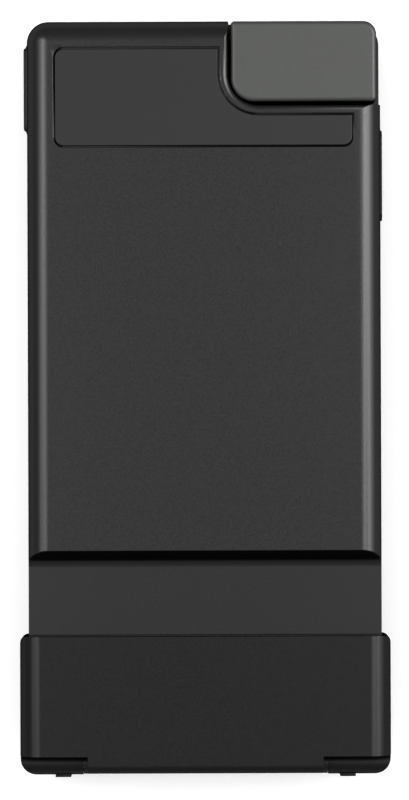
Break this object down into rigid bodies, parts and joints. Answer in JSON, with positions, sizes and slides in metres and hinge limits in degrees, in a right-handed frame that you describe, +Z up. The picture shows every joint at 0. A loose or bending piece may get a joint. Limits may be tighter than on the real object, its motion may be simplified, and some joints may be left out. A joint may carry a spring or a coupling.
{
  "type": "folding keyboard",
  "caption": "Folding music keyboard, shown closed: a thin left half and right half on a side hinge, with rounded pods, grip pads and a raised corner block in a notch.",
  "frame": {"origin": "centre of the bounding box on the surface that the closed keyboard lies on", "axes": "+X along the keyboard towards the hinge, +Y from the players' side to the back, +Z up through the closed halves"},
  "size_m": [0.176, 0.0864, 0.0253],
  "materials": {
    "case_plastic": "fine moulded texture",
    "rubber": "matt",
    "contact_rubber": "matt silicone",
    "board": "solder mask",
    "chip": "matt",
    "steel": "nickel plated",
    "magnet": "plated",
    "block_plastic": "fine moulded texture",
    "lens": "clear",
    "bezel_plastic": "satin",
    "washer": "smooth",
    "cable": "matt",
    "button": "matt silicone",
    "black_key": "satin",
    "white_key": "satin gloss"
  },
  "bodies": {
    "left_half": {"left_case": "case_plastic", "left_frame": "case_plastic", "left_hinge_housing": "case_plastic", "left_grip_pad": "rubber", "left_contact_mat": "contact_rubber", "left_circuit_board": "board", "left_case_screws": "steel", "left_magnets": "magnet", "corner_block_cover": "block_plastic", "status_lens": "lens", "usb_connector": "steel", "port_bezel": "bezel_plastic", "front_grip": "rubber", "front_hinge_pin": "steel", "rear_hinge_pin": "steel", "hinge_washers": "washer", "microcontroller": "chip", "left_hinge_cable": "cable"},
    "right_half": {"right_case": "case_plastic", "right_frame": "case_plastic", "right_hinge_housing": "case_plastic", "right_grip_pad": "rubber", "right_contact_mat": "contact_rubber", "right_circuit_board": "board", "right_case_screws": "steel", "right_magnets": "magnet", "right_hinge_cable": "cable"},
    "key_c3": {"key_c3": "white_key"},
    "key_c_sharp3": {"key_c_sharp3": "black_key"},
    "key_d3": {"key_d3": "white_key"},
    "key_d_sharp3": {"key_d_sharp3": "black_key"},
    "key_e3": {"key_e3": "white_key"},
    "key_f3": {"key_f3": "white_key"},
    "key_f_sharp3": {"key_f_sharp3": "black_key"},
    "key_g3": {"key_g3": "white_key"},
    "key_g_sharp3": {"key_g_sharp3": "black_key"},
    "key_a3": {"key_a3": "white_key"},
    "key_a_sharp3": {"key_a_sharp3": "black_key"},
    "key_b3": {"key_b3": "white_key"},
    "key_c4": {"key_c4": "white_key"},
    "key_c_sharp4": {"key_c_sharp4": "black_key"},
    "key_d4": {"key_d4": "white_key"},
    "key_d_sharp4": {"key_d_sharp4": "black_key"},
    "key_e4": {"key_e4": "white_key"},
    "key_f4": {"key_f4": "white_key"},
    "key_f_sharp4": {"key_f_sharp4": "black_key"},
    "key_g4": {"key_g4": "white_key"},
    "key_g_sharp4": {"key_g_sharp4": "black_key"},
    "key_a4": {"key_a4": "white_key"},
    "key_a_sharp4": {"key_a_sharp4": "black_key"},
    "key_b4": {"key_b4": "white_key"},
    "key_c5": {"key_c5": "white_key"},
    "octave_down_button": {"octave_down_button": "button"},
    "octave_up_button": {"octave_up_button": "button"},
    "sustain_button": {"sustain_button": "button"},
    "pitch_down_button": {"pitch_down_button": "button"},
    "pitch_up_button": {"pitch_up_button": "button"},
    "modulation_button": {"modulation_button": "button"}
  },
  "joints": [
    {"name": "fold_hinge", "type": "hinge", "parent": "left_half", "child": "right_half", "pos_m": [0.08468, 0, 0.01265], "axis": [0, 1, 0], "range_deg": [0, 180]},
    {"name": "key_c3_press", "type": "slide", "parent": "left_half", "child": "key_c3", "axis": [0, 0, -1], "range_m": [0, 0.0012], "stiffness_N_per_m": 250, "springref_m": -0.0012, "deforming": ["left_contact_mat"]},
    {"name": "key_c_sharp3_press", "type": "slide", "parent": "left_half", "child": "key_c_sharp3", "axis": [0, 0, -1], "range_m": [0, 0.0012], "stiffness_N_per_m": 250, "springref_m": -0.0012, "deforming": ["left_contact_mat"]},
    {"name": "key_d3_press", "type": "slide", "parent": "left_half", "child": "key_d3", "axis": [0, 0, -1], "range_m": [0, 0.0012], "stiffness_N_per_m": 250, "springref_m": -0.0012, "deforming": ["left_contact_mat"]},
    {"name": "key_d_sharp3_press", "type": "slide", "parent": "left_half", "child": "key_d_sharp3", "axis": [0, 0, -1], "range_m": [0, 0.0012], "stiffness_N_per_m": 250, "springref_m": -0.0012, "deforming": ["left_contact_mat"]},
    {"name": "key_e3_press", "type": "slide", "parent": "left_half", "child": "key_e3", "axis": [0, 0, -1], "range_m": [0, 0.0012], "stiffness_N_per_m": 250, "springref_m": -0.0012, "deforming": ["left_contact_mat"]},
    {"name": "key_f3_press", "type": "slide", "parent": "left_half", "child": "key_f3", "axis": [0, 0, -1], "range_m": [0, 0.0012], "stiffness_N_per_m": 250, "springref_m": -0.0012, "deforming": ["left_contact_mat"]},
    {"name": "key_f_sharp3_press", "type": "slide", "parent": "left_half", "child": "key_f_sharp3", "axis": [0, 0, -1], "range_m": [0, 0.0012], "stiffness_N_per_m": 250, "springref_m": -0.0012, "deforming": ["left_contact_mat"]},
    {"name": "key_g3_press", "type": "slide", "parent": "left_half", "child": "key_g3", "axis": [0, 0, -1], "range_m": [0, 0.0012], "stiffness_N_per_m": 250, "springref_m": -0.0012, "deforming": ["left_contact_mat"]},
    {"name": "key_g_sharp3_press", "type": "slide", "parent": "left_half", "child": "key_g_sharp3", "axis": [0, 0, -1], "range_m": [0, 0.0012], "stiffness_N_per_m": 250, "springref_m": -0.0012, "deforming": ["left_contact_mat"]},
    {"name": "key_a3_press", "type": "slide", "parent": "left_half", "child": "key_a3", "axis": [0, 0, -1], "range_m": [0, 0.0012], "stiffness_N_per_m": 250, "springref_m": -0.0012, "deforming": ["left_contact_mat"]},
    {"name": "key_a_sharp3_press", "type": "slide", "parent": "left_half", "child": "key_a_sharp3", "axis": [0, 0, -1], "range_m": [0, 0.0012], "stiffness_N_per_m": 250, "springref_m": -0.0012, "deforming": ["left_contact_mat"]},
    {"name": "key_b3_press", "type": "slide", "parent": "left_half", "child": "key_b3", "axis": [0, 0, -1], "range_m": [0, 0.0012], "stiffness_N_per_m": 250, "springref_m": -0.0012, "deforming": ["left_contact_mat"]},
    {"name": "key_c4_press", "type": "slide", "parent": "right_half", "child": "key_c4", "axis": [0, 0, 1], "range_m": [0, 0.0012], "stiffness_N_per_m": 250, "springref_m": -0.0012, "deforming": ["right_contact_mat"]},
    {"name": "key_c_sharp4_press", "type": "slide", "parent": "right_half", "child": "key_c_sharp4", "axis": [0, 0, 1], "range_m": [0, 0.0012], "stiffness_N_per_m": 250, "springref_m": -0.0012, "deforming": ["right_contact_mat"]},
    {"name": "key_d4_press", "type": "slide", "parent": "right_half", "child": "key_d4", "axis": [0, 0, 1], "range_m": [0, 0.0012], "stiffness_N_per_m": 250, "springref_m": -0.0012, "deforming": ["right_contact_mat"]},
    {"name": "key_d_sharp4_press", "type": "slide", "parent": "right_half", "child": "key_d_sharp4", "axis": [0, 0, 1], "range_m": [0, 0.0012], "stiffness_N_per_m": 250, "springref_m": -0.0012, "deforming": ["right_contact_mat"]},
    {"name": "key_e4_press", "type": "slide", "parent": "right_half", "child": "key_e4", "axis": [0, 0, 1], "range_m": [0, 0.0012], "stiffness_N_per_m": 250, "springref_m": -0.0012, "deforming": ["right_contact_mat"]},
    {"name": "key_f4_press", "type": "slide", "parent": "right_half", "child": "key_f4", "axis": [0, 0, 1], "range_m": [0, 0.0012], "stiffness_N_per_m": 250, "springref_m": -0.0012, "deforming": ["right_contact_mat"]},
    {"name": "key_f_sharp4_press", "type": "slide", "parent": "right_half", "child": "key_f_sharp4", "axis": [0, 0, 1], "range_m": [0, 0.0012], "stiffness_N_per_m": 250, "springref_m": -0.0012, "deforming": ["right_contact_mat"]},
    {"name": "key_g4_press", "type": "slide", "parent": "right_half", "child": "key_g4", "axis": [0, 0, 1], "range_m": [0, 0.0012], "stiffness_N_per_m": 250, "springref_m": -0.0012, "deforming": ["right_contact_mat"]},
    {"name": "key_g_sharp4_press", "type": "slide", "parent": "right_half", "child": "key_g_sharp4", "axis": [0, 0, 1], "range_m": [0, 0.0012], "stiffness_N_per_m": 250, "springref_m": -0.0012, "deforming": ["right_contact_mat"]},
    {"name": "key_a4_press", "type": "slide", "parent": "right_half", "child": "key_a4", "axis": [0, 0, 1], "range_m": [0, 0.0012], "stiffness_N_per_m": 250, "springref_m": -0.0012, "deforming": ["right_contact_mat"]},
    {"name": "key_a_sharp4_press", "type": "slide", "parent": "right_half", "child": "key_a_sharp4", "axis": [0, 0, 1], "range_m": [0, 0.0012], "stiffness_N_per_m": 250, "springref_m": -0.0012, "deforming": ["right_contact_mat"]},
    {"name": "key_b4_press", "type": "slide", "parent": "right_half", "child": "key_b4", "axis": [0, 0, 1], "range_m": [0, 0.0012], "stiffness_N_per_m": 250, "springref_m": -0.0012, "deforming": ["right_contact_mat"]},
    {"name": "key_c5_press", "type": "slide", "parent": "right_half", "child": "key_c5", "axis": [0, 0, 1], "range_m": [0, 0.0012], "stiffness_N_per_m": 250, "springref_m": -0.0012, "deforming": ["right_contact_mat"]},
    {"name": "octave_down_button_press", "type": "slide", "parent": "left_half", "child": "octave_down_button", "axis": [0, 0, -1], "range_m": [0, 0.0008], "stiffness_N_per_m": 600, "springref_m": -0.0008, "deforming": ["left_contact_mat"]},
    {"name": "octave_up_button_press", "type": "slide", "parent": "left_half", "child": "octave_up_button", "axis": [0, 0, -1], "range_m": [0, 0.0008], "stiffness_N_per_m": 600, "springref_m": -0.0008, "deforming": ["left_contact_mat"]},
    {"name": "sustain_button_press", "type": "slide", "parent": "left_half", "child": "sustain_button", "axis": [0, 0, -1], "range_m": [0, 0.0008], "stiffness_N_per_m": 600, "springref_m": -0.0008, "deforming": ["left_contact_mat"]},
    {"name": "pitch_down_button_press", "type": "slide", "parent": "left_half", "child": "pitch_down_button", "axis": [0, 0, -1], "range_m": [0, 0.0008], "stiffness_N_per_m": 600, "springref_m": -0.0008, "deforming": ["left_contact_mat"]},
    {"name": "pitch_up_button_press", "type": "slide", "parent": "left_half", "child": "pitch_up_button", "axis": [0, 0, -1], "range_m": [0, 0.0008], "stiffness_N_per_m": 600, "springref_m": -0.0008, "deforming": ["left_contact_mat"]},
    {"name": "modulation_button_press", "type": "slide", "parent": "left_half", "child": "modulation_button", "axis": [0, 0, -1], "range_m": [0, 0.0008], "stiffness_N_per_m": 600, "springref_m": -0.0008, "deforming": ["left_contact_mat"]}
  ]
}
